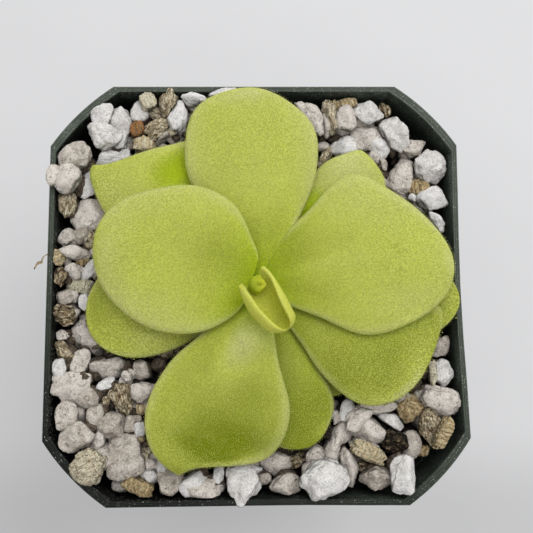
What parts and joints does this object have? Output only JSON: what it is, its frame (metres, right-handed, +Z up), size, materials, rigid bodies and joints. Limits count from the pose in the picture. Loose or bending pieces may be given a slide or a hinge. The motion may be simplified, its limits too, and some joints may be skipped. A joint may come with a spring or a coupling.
{
  "type": "potted succulent rosette",
  "caption": "Low rosette of broad fleshy oval leaves growing in a square tapered nursery pot filled with coarse white perlite mix.",
  "frame": {"origin": "middle of the pot's footprint, on the surface that it stands on", "axes": "+Z up out of the pot, +Y towards the picture's top edge, +X towards its right edge"},
  "size_m": [0.076, 0.0763, 0.0815],
  "materials": {
    "pot_plastic": "thin moulded plastic, dark green, slightly dusty",
    "perlite_mix": "dry porous grains, chalk white to tan",
    "stem_skin": "soft moist plant skin",
    "leaf_flesh": "soft translucent leaf, frosted with sticky gland hairs",
    "young_leaf_flesh": "soft young leaf, smooth and slightly glossy"
  },
  "bodies": {
    "root": {"pot": "pot_plastic", "potting_mix": "perlite_mix", "crown_stem": "stem_skin", "leaf_north": "leaf_flesh", "leaf_west": "leaf_flesh", "leaf_east": "leaf_flesh", "leaf_southwest": "leaf_flesh", "leaf_southeast": "leaf_flesh", "leaf_south": "leaf_flesh", "leaf_northwest": "leaf_flesh", "leaf_west_low": "leaf_flesh", "leaf_northeast": "leaf_flesh", "leaf_east_low": "leaf_flesh", "leaf_southeast_low": "leaf_flesh", "leaf_young": "young_leaf_flesh", "leaf_bud": "young_leaf_flesh"}
  },
  "joints": []
}
